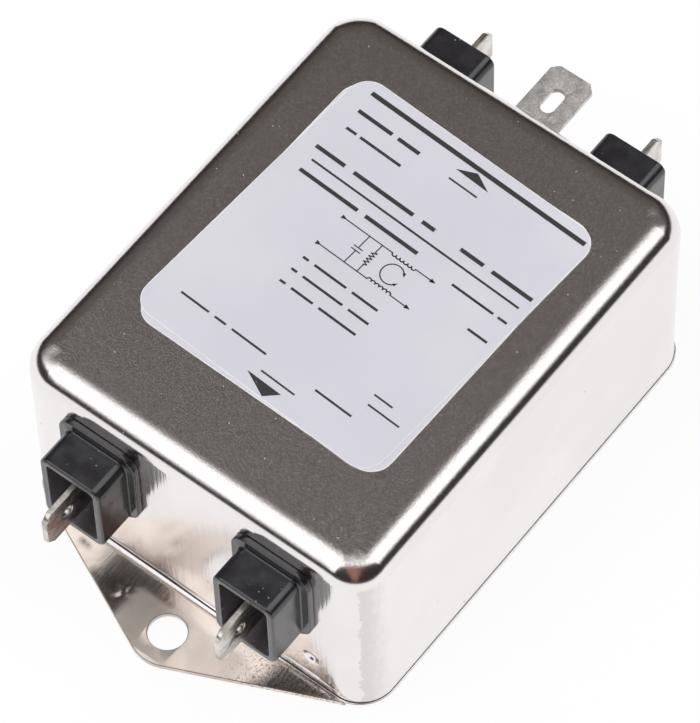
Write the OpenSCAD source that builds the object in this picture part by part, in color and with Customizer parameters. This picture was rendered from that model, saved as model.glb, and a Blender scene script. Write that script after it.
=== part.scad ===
// Chassis-mount power line filter in a drawn metal can.
// Two shrouded quick-connect terminals leave each end, and a ground tab leaves the line end.
// The load end faces -Y and the line end +Y; the origin is midway between the mounting holes,
// on the underside of the mounting plate.

/* [Can] */
// Width of the can across its long walls
case_w = 52.4; // [48:0.2:60]
// Length of the can over its end walls
case_l = 65.4; // [62:0.2:76]
// Height of the can's top above the underside of the mounting plate
case_top = 31.2; // [29:0.2:36]
// Sheet thickness of the can
case_wall = 0.7; // [0.5:0.05:1]
// Outer radius of the can's upright corners
case_corner_r = 5.5; // [5.5:0.1:7]
// Outer radius of the can's top edge
case_top_r = 2.7; // [1.8:0.1:2.7]
// Distance of each locking dimple from the can's centre plane
dimple_x = 17.8; // [14:0.1:18]
// Height of the locking dimples above the underside
dimple_z = 6.2; // [5:0.1:7]
// Radius of the punch that made a locking dimple
dimple_r = 1.2; // [1:0.05:1.5]
// Depth of a locking dimple
dimple_depth = 0.6; // [0.3:0.05:0.7]

/* [Mounting plate] */
// Sheet thickness of the mounting plate
plate_t = 0.8; // [0.6:0.1:1.2]
// Width of the plate's rim beyond the can
plate_lip = 0.4; // [0.2:0.05:0.8]
// Reach of each ear beyond the can's end wall
ear_reach = 10.1; // [9:0.1:13]
// Radius of each ear's rounded tip
ear_r = 5.5; // [4.5:0.1:6.5]
// Distance of each mounting hole beyond the can's end wall
hole_from_wall = 5.5; // [5:0.1:6.5]
// Diameter of the mounting holes
hole_d = 4.9; // [4:0.1:5.5]

/* [Closing pan] */
// Sheet thickness of the pan that closes the can from below
pan_t = 0.6; // [0.4:0.05:0.8]
// Width of the pan's two upright end flanges
pan_flange_w = 40.4; // [38:0.2:41]
// Height of the pan's end flanges above the mounting plate
pan_flange_h = 8; // [7.5:0.1:9]
// Diameter of the holes that the can's dimples lock into
pan_hole_d = 2.6; // [2.4:0.1:3.2]
// Gap between the pan and the can
pan_gap = 0.1; // [0.05:0.01:0.2]

/* [Terminal housings] */
// Distance between the two terminals of one end
terminal_pitch = 26; // [24:0.1:28]
// Height of the terminals' centre above the underside
terminal_z = 19.2; // [18.5:0.1:20]
// Outer width of a shroud
shroud_w = 9; // [8.6:0.1:10]
// Outer height of a shroud
shroud_h = 12.6; // [12:0.1:13]
// Reach of a shroud beyond the end wall
shroud_l = 5.8; // [5:0.1:8]
// Wall thickness of a shroud
shroud_wall = 1; // [0.8:0.05:1.1]
// Radius of a shroud's outer corners
shroud_r = 1.3; // [1.1:0.05:1.5]
// Radius of a shroud's inner corners
cavity_r = 0.5; // [0.3:0.05:0.8]
// Depth of a shroud's cavity from its rim
cavity_depth = 7.6; // [7:0.1:8]
// Thickness of the floor that holds the blade
floor_t = 2; // [1.5:0.1:2.5]
// Width of the flange against the end wall
flange_w = 11.5; // [11.2:0.1:12]
// Thickness of the flange
flange_t = 0.9; // [0.7:0.05:1.2]
// Radius of the flange's corners
flange_r = 2.5; // [1.5:0.1:2.8]
// Rise of the flange above the shroud
flange_rise = 1.4; // [1:0.1:1.8]
// Inset of the part in the can's window from the shroud's outside
spigot_inset = 0.3; // [0.25:0.05:0.4]
// Gap all round between a housing and its window in the can
window_gap = 0.1; // [0.05:0.01:0.15]
// Catch height of the snap barbs behind the end wall
barb_catch = 0.5; // [0.3:0.05:0.7]
// Length of the snap barbs
barb_l = 1.6; // [1.2:0.1:2]
// Width of the snap barbs
barb_w = 5; // [3:0.1:7]

/* [Blades and ground tab] */
// Width of the quick-connect blades and of the ground tab
blade_w = 6.35; // [6.2:0.01:6.4]
// Thickness of the blades and of the ground tab
blade_t = 0.8; // [0.75:0.01:0.85]
// Reach of a blade beyond the end wall
blade_out = 10.6; // [9.5:0.1:12]
// Chamfer at the corners of a blade's tip
blade_chamfer = 1.1; // [0.6:0.1:1.6]
// Diameter of the detent hole in a blade
detent_d = 1.8; // [1.5:0.1:2]
// Distance of the detent hole from a blade's tip
detent_from_tip = 3.8; // [3:0.1:4.5]
// Width of a blade's tail inside the can
tail_w = 8; // [7.4:0.1:8.6]
// Length of a blade's tail behind its housing
tail_l = 4.6; // [4:0.1:5.5]
// Gap round a blade in its slot
blade_gap = 0.05; // [0.02:0.01:0.1]
// Height of the ground tab's top face above the underside
ground_z = 23.5; // [22:0.1:25]
// Reach of the ground tab beyond the end wall
ground_out = 11.4; // [10:0.1:13]
// Chamfer at the corners of the ground tab's tip
ground_chamfer = 0.9; // [0.5:0.1:1.5]
// Inner bend radius of the ground tab
ground_bend = 0.6; // [0.4:0.1:1]
// Length of the ground tab's leg on the end wall
ground_leg = 9; // [8:0.1:10]
// Width of the slot in the ground tab
slot_w = 2; // [1.6:0.1:2.4]
// Length of the slot in the ground tab
slot_l = 3.9; // [3:0.1:4.5]
// Distance of the slot's centre from the end wall
slot_from_wall = 6.6; // [5:0.1:7.5]
// Diameter of the ground rivet's shank
rivet_d = 3; // [2.4:0.1:3.6]
// Diameter of the ground rivet's heads
rivet_head_d = 5; // [4.4:0.1:5.8]
// Thickness of the ground rivet's heads
rivet_head_t = 0.9; // [0.6:0.1:1.2]
// Distance from the ground rivet to the lower end of the leg
rivet_from_end = 3.3; // [3:0.1:4]
// Gap between the ground rivet's shank and its holes
rivet_gap = 0.05; // [0.02:0.01:0.1]

/* [Label] */
// Width of the two labels, which lie one over the other
label_w = 37.2; // [34:0.1:40]
// Length of the labels along the can
label_l = 42.6; // [38:0.1:46]
// Radius of the labels' corners
label_r = 3; // [1:0.1:4]
// Thickness of a label
label_t = 0.08; // [0.06:0.01:0.15]
// Shift of the upper label towards the line end
label_shift = 2.15; // [0:0.05:3]
// Shift of the upper label towards the left wall
label_aside = 0.2; // [0:0.05:0.5]
// Angle by which the upper label was stuck on out of square
label_skew = 3.2; // [0:0.1:4]
// Shift of the lower label towards the line end
under_shift = 1.8; // [0:0.05:3]
// Angle by which the lower label was stuck on out of square
under_skew = 1.2; // [0:0.1:4]

/* [Choke] */
// Outer diameter of the ring core
core_outer_d = 36; // [33:0.2:37]
// Inner diameter of the ring core
core_bore_d = 22; // [21:0.2:24]
// Height of the ring core
core_h = 14.6; // [13:0.1:15]
// Radius of the ring core's edges
core_edge_r = 1.6; // [1.4:0.1:2]
// Shift of the choke towards the load end
choke_shift = 1.5; // [0:0.1:3]
// Diameter of the winding wire
wire_d = 1.8; // [1.4:0.05:1.9]
// Gap between the wire and the core
wire_gap = 0.25; // [0.2:0.05:0.35]
// Full loops of each winding
loops = 8; // [6:1:8]
// Part of a loop after the full ones, in which the wire leaves over the top, in degrees
last_turn = 270; // [255:5:285]
// Angle of the core that each winding covers
winding_span = 146; // [136:1:150]
// Thickness of the plate that parts the two windings
divider_t = 1.2; // [0.8:0.1:1.6]
// Gap between the divider's ends and the core
divider_gap = 0.05; // [0.02:0.01:0.2]

/* [Capacitor and resistor] */
// Width of the capacitor across the can
cap_w = 13; // [11:0.1:14]
// Thickness of the capacitor
cap_t = 5; // [4:0.1:5.4]
// Radius of the capacitor's upright edges
cap_edge_r = 0.6; // [0.3:0.1:1]
// Distance between the capacitor's leads
cap_pitch = 10; // [7.5:0.5:10]
// Height of the capacitor above the insulating sheet
cap_lift = 4; // [3.6:0.1:5]
// Gap between the capacitor's top and the winding tails
cap_headroom = 1.5; // [1:0.1:2]
// Drop of the capacitor's leads below it
cap_lead_drop = 2; // [1.8:0.1:2.4]
// Diameter of the capacitor's leads
cap_lead_d = 0.8; // [0.6:0.05:0.8]
// Length of the resistor's body
resistor_l = 6.5; // [5:0.1:8]
// Diameter of the resistor's body
resistor_d = 2.4; // [2:0.1:2.8]
// Diameter of the resistor's end caps
resistor_cap_d = 2.7; // [2.5:0.1:3]
// Length of each end cap of the resistor
resistor_cap_l = 1.5; // [1:0.1:2]
// Rise of the resistor above the terminals' centre
resistor_rise = 3; // [2.6:0.1:3.4]
// Diameter of the resistor's leads
resistor_lead_d = 0.6; // [0.5:0.05:0.7]
// Inner radius at which the capacitor's leads are bent
lead_bend = 0.8; // [0.6:0.1:1]

/* [Insulation] */
// Thickness of the insulating sheet on the pan
sheet_t = 0.4; // [0.3:0.05:0.6]
// Gap between the insulating sheet and the pan's end flanges
sheet_gap = 0.4; // [0.2:0.1:1]
// Thickness of the liner under the can's top and along its long walls
liner_t = 0.3; // [0.2:0.05:0.4]
// Gap between the liner and the can
liner_gap = 0.1; // [0.05:0.01:0.2]
// Gap between the choke and the insulating sheet
seat_gap = 0.2; // [0.1:0.05:0.3]

/* [Hidden] */
$fn = 48;
// How far a cutter runs past the face that it opens
over = 1;
// Share of the can's wall that is left where a dimple was drawn
drawn_share = 0.9;
end_y = case_l / 2;
side_x = case_w / 2;
inner_y = end_y - case_wall;
inner_w = case_w - 2 * case_wall;
inner_l = case_l - 2 * case_wall;
inner_corner_r = case_corner_r - case_wall;
inner_top_r = case_top_r - case_wall;
hole_y = end_y + hole_from_wall;
ear_y = end_y + ear_reach - ear_r;
plate_corner_r = case_corner_r + plate_lip;
plate_corner = [side_x - case_corner_r, end_y - case_corner_r];
pan_top = plate_t + pan_t;
pan_w = inner_w - 2 * pan_gap;
pan_l = inner_l - 2 * pan_gap;
sheet_top = pan_top + sheet_t;
sheet_l = pan_l - 2 * (pan_t + sheet_gap);
terminal_x = terminal_pitch / 2;
cavity_w = shroud_w - 2 * shroud_wall;
cavity_h = shroud_h - 2 * shroud_wall;
spigot_w = shroud_w - 2 * spigot_inset;
spigot_h = shroud_h - 2 * spigot_inset;
spigot_r = shroud_r - spigot_inset;
spigot_l = cavity_depth - shroud_l + floor_t;
flange_h = shroud_h + flange_rise;
tail_end = spigot_l + tail_l;
tail_y = end_y - spigot_l - tail_l / 2;
leg_end_z = ground_z - ground_leg;
rivet_z = leg_end_z + rivet_from_end;
// Middle of the core's section, and half the size of the wire's path round it
core_mid_r = (core_outer_d + core_bore_d) / 4;
wire_a = (core_outer_d - core_bore_d) / 4 + wire_gap + wire_d / 2;
wire_b = core_h / 2 + wire_gap + wire_d / 2;
choke_z = sheet_top + seat_gap + wire_d / 2 + wire_b;
cap_bottom = sheet_top + cap_lift;
cap_h = terminal_z - wire_d / 2 - cap_headroom - cap_bottom;
resistor_z = terminal_z + resistor_rise;
// Rings of a winding tube in one loop and in a tail, and sides of its section
loop_rings = 24;
tail_rings = 9;
tube_sides = 6;
// Squareness of the wire's path round the core: 1 is an ellipse, 0 a rectangle
square_share = 0.4;
// Reach of a tail's two handles, as shares of the straight way between its ends
start_share = 0.4;
end_share = 0.25;

module rounded_rect(w, h, r) {
    square([w - 2 * r, h], center = true);
    square([w, h - 2 * r], center = true);
    for (x = [-1, 1], y = [-1, 1])
        translate([x * (w / 2 - r), y * (h / 2 - r)])
            circle(r);
}

// Upright section with a flat foot and rounded top corners
module arch(w, h, r) {
    translate([-w / 2, 0])
        square([w, h - r]);
    translate([r - w / 2, 0])
        square([w - 2 * r, h]);
    for (x = [-1, 1])
        translate([x * (w / 2 - r), h - r])
            circle(r);
}

// Half of the section through an upright corner
module corner_arch(r, h, top_r) {
    square([r, h - top_r]);
    square([r - top_r, h]);
    translate([r - top_r, h - top_r])
        intersection() {
            circle(top_r);
            square([top_r, top_r]);
        }
}

// Block on the XY plane with rounded upright corners and a rounded top edge
module drawn_block(w, l, h, r, top_r) {
    translate([0, l / 2 - r, 0])
        rotate([90, 0, 0])
            linear_extrude(l - 2 * r)
                arch(w, h, top_r);
    translate([r - w / 2, 0, 0])
        rotate([90, 0, 90])
            linear_extrude(w - 2 * r)
                arch(l, h, top_r);
    for (x = [-1, 1], y = [-1, 1])
        translate([x * (w / 2 - r), y * (l / 2 - r), 0])
            rotate_extrude()
                corner_arch(r, h, top_r);
}

// Prism along Y between two depths, with rounded corners
module y_prism(w, h, r, from, to) {
    translate([0, to, 0])
        rotate([90, 0, 0])
            linear_extrude(to - from)
                rounded_rect(w, h, r);
}

module y_cylinder(r, from, to) {
    translate([0, to, 0])
        rotate([90, 0, 0])
            cylinder(r = r, h = to - from);
}

// Places something drawn for the load end's wall, with -Y outwards
module at_load(side) {
    translate([side * terminal_x, -end_y, terminal_z])
        children();
}

module at_line(side) {
    translate([side * terminal_x, end_y, terminal_z])
        rotate([0, 0, 180])
            children();
}

module at_dimples() {
    for (x = [-1, 1], y = [-1, 1])
        translate([x * dimple_x, y * (end_y + dimple_r - dimple_depth), dimple_z])
            children();
}

module window() {
    y_prism(spigot_w + 2 * window_gap, spigot_h + 2 * window_gap, spigot_r, -over, case_wall + over);
}

module case() {
    bump_r = dimple_r + drawn_share * case_wall;
    color([0.62, 0.6, 0.57])
        difference() {
            union() {
                difference() {
                    translate([0, 0, plate_t])
                        drawn_block(case_w, case_l, case_top - plate_t, case_corner_r, case_top_r);
                    translate([0, 0, plate_t - over])
                        drawn_block(inner_w, inner_l, case_top - plate_t - case_wall + over,
                            inner_corner_r, inner_top_r);
                }
                intersection() {
                    at_dimples()
                        sphere(bump_r);
                    translate([-side_x, case_wall / 2 - end_y, plate_t])
                        cube([case_w, case_l - case_wall, case_top - case_top_r]);
                }
            }
            for (side = [-1, 1]) {
                at_load(side)
                    window();
                at_line(side)
                    window();
            }
            translate([0, 0, rivet_z])
                y_cylinder(rivet_d / 2 + rivet_gap, inner_y - over, end_y + over);
            at_dimples()
                sphere(dimple_r);
        }
}

// Points where the edge of an ear leaves the corner circle and meets the tip circle
function ear_edge() =
    let (way = plate_corner - [0, ear_y])
    let (turn = atan2(way[1], way[0]) + acos((ear_r - plate_corner_r) / norm(way)))
    let (out = [cos(turn), sin(turn)])
    [plate_corner + plate_corner_r * out, [0, ear_y] + ear_r * out];

module ear() {
    edge = ear_edge();
    polygon([edge[0], edge[1], [-edge[1][0], edge[1][1]], [-edge[0][0], edge[0][1]]]);
    translate([0, ear_y])
        circle(ear_r);
}

module mounting_plate() {
    color([0.66, 0.62, 0.58])
        difference() {
            linear_extrude(plate_t) {
                rounded_rect(case_w + 2 * plate_lip, case_l + 2 * plate_lip, plate_corner_r);
                ear();
                mirror([0, 1])
                    ear();
            }
            for (end = [-1, 1])
                translate([0, end * hole_y, -over])
                    cylinder(r = hole_d / 2, h = plate_t + 2 * over);
        }
}

module closing_pan() {
    color([0.6, 0.58, 0.55])
        difference() {
            union() {
                translate([0, 0, plate_t])
                    linear_extrude(pan_t)
                        rounded_rect(pan_w, pan_l, inner_corner_r - pan_gap);
                for (end = [-1, 1])
                    translate([-pan_flange_w / 2, end * (pan_l - pan_t) / 2 - pan_t / 2, plate_t])
                        cube([pan_flange_w, pan_t, pan_flange_h]);
            }
            for (x = [-1, 1])
                translate([x * dimple_x, 0, dimple_z])
                    y_cylinder(pan_hole_d / 2, -end_y, end_y);
        }
}

// Label on the XY plane, turned clockwise as seen from above
module sticker(skew) {
    color([0.86, 0.86, 0.9])
        rotate([0, 0, -skew])
            linear_extrude(label_t)
                rounded_rect(label_w, label_l, label_r);
}

module under_label() {
    translate([0, under_shift, case_top])
        sticker(under_skew);
}

module label() {
    translate([-label_aside, label_shift, case_top + label_t])
        sticker(label_skew);
}

// Snap barb on a housing's side, which catches behind the end wall
module barb() {
    catch_y = case_wall + window_gap;
    root = spigot_w / 2 - barb_catch;
    translate([0, 0, -barb_w / 2])
        linear_extrude(barb_w)
            polygon([[root, catch_y], [spigot_w / 2 + barb_catch, catch_y],
                [spigot_w / 2, catch_y + barb_l], [root, catch_y + barb_l]]);
}

// Terminal housing with its outer wall face at the XZ plane and its mouth towards -Y
module housing() {
    color([0.13, 0.13, 0.14])
        difference() {
            union() {
                y_prism(shroud_w, shroud_h, shroud_r, -shroud_l, 0);
                translate([0, 0, flange_rise / 2])
                    y_prism(flange_w, flange_h, flange_r, -flange_t, 0);
                y_prism(spigot_w, spigot_h, spigot_r, -flange_t, spigot_l);
                barb();
                mirror([1, 0, 0])
                    barb();
            }
            y_prism(cavity_w, cavity_h, cavity_r, -shroud_l - over, cavity_depth - shroud_l);
            translate([-blade_t / 2 - blade_gap, 0, -blade_w / 2 - blade_gap])
                cube([blade_t + 2 * blade_gap, spigot_l + over, blade_w + 2 * blade_gap]);
        }
}

// Upper half of a blade's side view, from the tail to the tip
blade_half = [[tail_end, tail_w / 2], [spigot_l, tail_w / 2], [spigot_l, blade_w / 2],
    [blade_chamfer - blade_out, blade_w / 2], [-blade_out, blade_w / 2 - blade_chamfer]];

// Quick-connect blade in the same frame as its housing
module blade() {
    lower_half = [for (i = [len(blade_half) - 1:-1:0]) [blade_half[i][0], -blade_half[i][1]]];
    color([0.72, 0.69, 0.65])
        difference() {
            translate([-blade_t / 2, 0, 0])
                rotate([90, 0, 90])
                    linear_extrude(blade_t)
                        polygon(concat(blade_half, lower_half));
            translate([-blade_t, detent_from_tip - blade_out, 0])
                rotate([0, 90, 0])
                    cylinder(r = detent_d / 2, h = 2 * blade_t);
        }
}

module load_housing_left() at_load(-1) housing();
module load_housing_right() at_load(1) housing();
module line_housing_left() at_line(-1) housing();
module line_housing_right() at_line(1) housing();
module load_blade_left() at_load(-1) blade();
module load_blade_right() at_load(1) blade();
module line_blade_left() at_line(-1) blade();
module line_blade_right() at_line(1) blade();

// Side view of the ground tab: its leg lies on the end wall and its blade points outwards
module ground_profile() {
    bend_r = ground_bend + blade_t;
    translate([end_y, leg_end_z])
        square([blade_t, ground_leg - bend_r]);
    translate([end_y + bend_r, ground_z - blade_t])
        square([ground_out - bend_r, blade_t]);
    translate([end_y + bend_r, ground_z - bend_r])
        intersection() {
            difference() {
                circle(bend_r);
                circle(ground_bend);
            }
            translate([-bend_r, 0])
                square([bend_r, bend_r]);
        }
}

module ground_tab() {
    tip_y = end_y + ground_out;
    slot_half = (slot_l - slot_w) / 2;
    color([0.5, 0.48, 0.45])
        difference() {
            translate([-blade_w / 2, 0, 0])
                rotate([90, 0, 90])
                    linear_extrude(blade_w)
                        ground_profile();
            for (x = [-1, 1])
                translate([0, 0, ground_z - blade_t - over])
                    linear_extrude(blade_t + 2 * over)
                        polygon([[x * (blade_w / 2 - ground_chamfer), tip_y],
                            [x * (blade_w / 2 - ground_chamfer), tip_y + over],
                            [x * (blade_w / 2 + over), tip_y + over],
                            [x * (blade_w / 2 + over), tip_y - ground_chamfer],
                            [x * blade_w / 2, tip_y - ground_chamfer]]);
            translate([0, end_y + slot_from_wall, ground_z - blade_t - over]) {
                for (y = [-1, 1])
                    translate([0, y * slot_half, 0])
                        cylinder(r = slot_w / 2, h = blade_t + 2 * over);
                translate([-slot_w / 2, -slot_half, 0])
                    cube([slot_w, 2 * slot_half, blade_t + 2 * over]);
            }
            translate([0, 0, rivet_z])
                y_cylinder(rivet_d / 2 + rivet_gap, end_y - over, end_y + blade_t + over);
        }
}

module ground_rivet() {
    color([0.7, 0.68, 0.64])
        translate([0, 0, rivet_z]) {
            y_cylinder(rivet_d / 2, inner_y - rivet_head_t, end_y + blade_t + rivet_head_t);
            y_cylinder(rivet_head_d / 2, inner_y - rivet_head_t, inner_y);
            y_cylinder(rivet_head_d / 2, end_y + blade_t, end_y + blade_t + rivet_head_t);
        }
}

module at_choke() {
    translate([0, -choke_shift, choke_z])
        children();
}

module choke_core() {
    color([0.2, 0.42, 0.26])
        at_choke()
            rotate_extrude($fn = 96)
                translate([core_mid_r, 0])
                    rounded_rect((core_outer_d - core_bore_d) / 2, core_h, core_edge_r);
}

module choke_divider() {
    reach = sqrt(pow(core_bore_d / 2, 2) - pow(divider_t / 2, 2)) - divider_gap;
    color([0.85, 0.82, 0.7])
        at_choke()
            translate([-divider_t / 2, -reach, -core_h / 2])
                cube([divider_t, 2 * reach, core_h]);
}

function unit(v) = v / norm(v);
function squared(c) = sign(c) * pow(abs(c), square_share);

// Point of the right winding after a turn of the wire round the core's section
function loop_point(turn) =
    let (whole = 360 * loops + last_turn)
    let (around = winding_span * (turn / whole - 1 / 2))
    let (r = core_mid_r + wire_a * squared(cos(turn)))
    [r * cos(around), r * sin(around) - choke_shift, choke_z - wire_b * squared(sin(turn))];

// Smooth way between two points, with a handle at each end
function smooth(a, handle_a, handle_b, b, count) =
    [for (i = [1:count - 1])
        let (t = i / count, s = 1 - t)
        s * s * s * a + 3 * s * s * t * handle_a + 3 * s * t * t * handle_b + t * t * t * b];

// Route of the right winding, from its load blade to its line blade
function winding_route() =
    let (face_x = terminal_x - blade_t / 2)
    let (load_face = [face_x, -tail_y, terminal_z], line_face = [face_x, tail_y, terminal_z])
    let (load_bend = load_face - [wire_d, 0, 0], line_bend = line_face - [wire_d, 0, 0])
    let (whole = 360 * loops + last_turn, step = 360 / loop_rings)
    let (first = loop_point(0), last = loop_point(whole))
    let (first_way = norm(first - load_bend), last_way = norm(line_bend - last))
    let (last_out = unit(loop_point(whole) - loop_point(whole - step)))
    concat(
        [load_face, load_bend],
        smooth(load_bend, load_bend - [end_share * first_way, 0, 0],
            first + [0, 0, start_share * first_way], first, tail_rings),
        [for (turn = [0:step:whole]) loop_point(turn)],
        smooth(last, last + start_share * last_way * last_out,
            line_bend - [end_share * last_way, 0, 0], line_bend, tail_rings),
        [line_bend, line_face]);

function heading(route, i) =
    unit(route[min(i + 1, len(route) - 1)] - route[max(i - 1, 0)]);
function squared_to(v, along) = unit(v - along * (v * along));

// Sideways direction of each ring, carried along the route without twist
function carried(route) =
    [for (i = 0, v = squared_to([0, 0, 1], heading(route, 0)); i < len(route);
            i = i + 1, v = i < len(route) ? squared_to(v, heading(route, i)) : v) v];

// Unbroken tube along a route, with pointed-up sides and flat ends
module tube(route, d, sides) {
    across = carried(route);
    rings = len(route);
    points = [for (i = [0:rings - 1], k = [0:sides - 1])
        let (v = across[i], w = cross(heading(route, i), v), a = 360 * k / sides)
        route[i] + d / 2 * (v * cos(a) + w * sin(a))];
    walls = [for (i = [0:rings - 2], k = [0:sides - 1], half = [0, 1])
        let (a = i * sides + k, b = i * sides + (k + 1) % sides)
        half == 0 ? [a, a + sides, b] : [b, a + sides, b + sides]];
    start = [for (k = [1:sides - 2]) [0, k, k + 1]];
    last = (rings - 1) * sides;
    finish = [for (k = [1:sides - 2]) [last, last + k + 1, last + k]];
    polyhedron(points = points, faces = concat(start, walls, finish), convexity = 20);
}

// Least gap of a tube to itself, between rings that lie more than half a loop apart
function self_gap(route, d, apart) =
    min([for (i = [0:len(route) - apart - 1], j = [i + apart:len(route) - 1])
        norm(route[i] - route[j])]) - d;

echo(least_gap_of_winding_mm = self_gap(winding_route(), wire_d, loop_rings / 2));

module winding_right() {
    color([0.72, 0.38, 0.16])
        tube(winding_route(), wire_d, tube_sides);
}

module winding_left() {
    mirror([1, 0, 0])
        winding_right();
}

module capacitor() {
    color([0.86, 0.72, 0.2])
        translate([0, tail_y, cap_bottom])
            linear_extrude(cap_h)
                rounded_rect(cap_w, cap_t, cap_edge_r);
}

// Round wire through points given as X and Z, with a bend at each inner point
module xz_wire(points, r, bend) {
    last = len(points) - 1;
    rotate([90, 0, 0])
        for (i = [0:last - 1]) {
            way = points[i + 1] - points[i];
            ahead = atan2(way[1], way[0]);
            from = i == 0 ? 0 : bend;
            to = norm(way) - (i == last - 1 ? 0 : bend);
            translate([points[i][0], points[i][1], 0])
                rotate([0, 0, ahead]) {
                    translate([from, 0, 0])
                        rotate([0, 90, 0])
                            cylinder(r = r, h = to - from);
                    if (i < last - 1) {
                        next = points[i + 2] - points[i + 1];
                        left = way[0] * next[1] - way[1] * next[0] > 0;
                        translate([norm(way) - bend, left ? bend : -bend, 0])
                            rotate([0, 0, left ? -90 : 0])
                                rotate_extrude(angle = 90)
                                    translate([bend, 0])
                                        circle(r);
                    }
                }
        }
}

// Draws the right-hand one of a pair and its mirror image
module pair() {
    children();
    mirror([1, 0, 0])
        children();
}

module capacitor_leads() {
    run_z = cap_bottom - cap_lead_drop;
    color([0.75, 0.75, 0.76])
        translate([0, tail_y, 0])
            pair()
                xz_wire([[cap_pitch / 2, cap_bottom], [cap_pitch / 2, run_z], [terminal_x, run_z],
                    [terminal_x, terminal_z - tail_w / 2]], cap_lead_d / 2, lead_bend + cap_lead_d / 2);
}

module resistor() {
    color([0.82, 0.7, 0.5])
        translate([0, tail_y, resistor_z])
            rotate([0, 90, 0]) {
                cylinder(r = resistor_d / 2, h = resistor_l, center = true);
                for (end = [-1, 1])
                    translate([0, 0, end * (resistor_l - resistor_cap_l) / 2])
                        cylinder(r = resistor_cap_d / 2, h = resistor_cap_l, center = true);
            }
}

module resistor_leads() {
    color([0.75, 0.75, 0.76])
        translate([0, tail_y, resistor_z])
            pair()
                translate([resistor_l / 2, 0, 0])
                    rotate([0, 90, 0])
                        cylinder(r = resistor_lead_d / 2, h = terminal_x - blade_t / 2 - resistor_l / 2);
}

module insulating_sheet() {
    color([0.3, 0.34, 0.4])
        translate([0, 0, pan_top])
            linear_extrude(sheet_t)
                rounded_rect(pan_w - 2 * liner_t - 2 * sheet_gap, sheet_l, inner_corner_r);
}

module insulating_liner() {
    outer_w = inner_w - 2 * liner_gap;
    outer_h = case_top - case_wall - liner_gap - pan_top;
    outer_r = inner_top_r;
    liner_l = inner_l - 2 * inner_corner_r;
    color([0.42, 0.36, 0.3])
        translate([0, liner_l / 2, pan_top])
            rotate([90, 0, 0])
                linear_extrude(liner_l)
                    difference() {
                        arch(outer_w, outer_h, outer_r);
                        translate([0, -over])
                            arch(outer_w - 2 * liner_t, outer_h - liner_t + over, outer_r - liner_t);
                    }
}

case();
mounting_plate();
closing_pan();
under_label();
label();
load_housing_left();
load_housing_right();
line_housing_left();
line_housing_right();
load_blade_left();
load_blade_right();
line_blade_left();
line_blade_right();
ground_tab();
ground_rivet();
choke_core();
choke_divider();
winding_left();
winding_right();
capacitor();
capacitor_leads();
resistor();
resistor_leads();
insulating_sheet();
insulating_liner();
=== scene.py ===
"""Power line filter in a drawn metal can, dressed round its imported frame."""
import math
from functools import reduce

import bmesh
import bpy
from mathutils import Matrix, Vector, geometry


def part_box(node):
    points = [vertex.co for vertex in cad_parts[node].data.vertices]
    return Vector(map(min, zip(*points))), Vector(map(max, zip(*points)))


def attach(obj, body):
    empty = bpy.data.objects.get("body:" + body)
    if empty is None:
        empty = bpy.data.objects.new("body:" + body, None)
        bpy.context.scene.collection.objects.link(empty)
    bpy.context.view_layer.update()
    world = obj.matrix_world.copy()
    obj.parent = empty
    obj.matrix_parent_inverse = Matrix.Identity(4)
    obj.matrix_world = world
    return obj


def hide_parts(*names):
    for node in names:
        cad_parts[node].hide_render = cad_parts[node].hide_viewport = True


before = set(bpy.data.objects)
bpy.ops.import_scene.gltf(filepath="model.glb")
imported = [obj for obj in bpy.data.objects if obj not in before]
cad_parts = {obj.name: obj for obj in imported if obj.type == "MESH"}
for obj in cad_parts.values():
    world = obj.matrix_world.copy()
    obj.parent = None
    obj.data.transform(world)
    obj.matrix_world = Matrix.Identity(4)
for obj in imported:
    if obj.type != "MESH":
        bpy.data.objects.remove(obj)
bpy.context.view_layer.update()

# One millimetre in the scene's metres; every size below is in millimetres
MM = 0.001


def box_mm(node):
    low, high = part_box(node)
    return Vector(low) / MM, Vector(high) / MM


case_low, case_high = box_mm("case")
plate_high = box_mm("mounting_plate")[1]
tab_low, tab_high = box_mm("ground_tab")
rivet_low, rivet_high = box_mm("ground_rivet")
blade_low, blade_high = box_mm("load_blade_right")
END_Y = case_high.y
SIDE_X = case_high.x
CAN_TOP = case_high.z
CAN_FOOT = case_low.z
TERMINAL_X = (blade_low.x + blade_high.x) / 2
TERMINAL_Z = (blade_low.z + blade_high.z) / 2
RIVET_Z = (rivet_low.z + rivet_high.z) / 2

# Can
CAN_WALL = 0.7
CORNER_R = 4.8
TOP_R = 2.7
TOP_CORNER_R = 3.3
TOP_TAIL = math.radians(24)
TOP_START_Z = 27.2
DIMPLE_X = 17.8
DIMPLE_Z = 6.2
DIMPLE_R = 1.0
DIMPLE_DEPTH = 0.62
WINDOW_HALF_X = 4.3
WINDOW_HALF_Z = 6.1
RIVET_HOLE_HALF = 1.55
CREASE_Z = 2.15
CREASE_DEPTH = 0.2
CREASE_WIDTH = 0.2
CREASE_HALF_LENGTH = 18.5
SEAM_H = 0.18
SEAM_DEPTH = 0.12
FOOT_TUCK = 0.2
FOOT_SKEW = 0.011
FOOT_FLARE = 0.2
FLARE_H = 9.0
WAVE = 0.02
WAVES_FULL_FROM = 8
WAVES_FULL_TO = 20
WAVES = [(1.0, 0.42, 0.23, 0.0), (0.6, 0.19, -0.37, 1.3)]
CORNER_STEPS = 18
END_STEP = 1.6
SIDE_STEP = 2.5
AROUND_DIMPLE = [i * 0.25 for i in range(-5, 6)]
AROUND_CREASE = [i * 0.1 for i in range(-5, 6)]

# Mounting plate
PLATE_LIP = 0.4
PLATE_CORNER_R = 5.3
PLATE_EDGE = 0.14
EAR_R = 5.5
EAR_STEPS = 16
HOLE_Y = 38.2
HOLE_R = 2.45
PRESS_MARK_R = 1.3
PRESS_MARKS = [(-8.6, -37.6), (-6.8, -36.6)]

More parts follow.
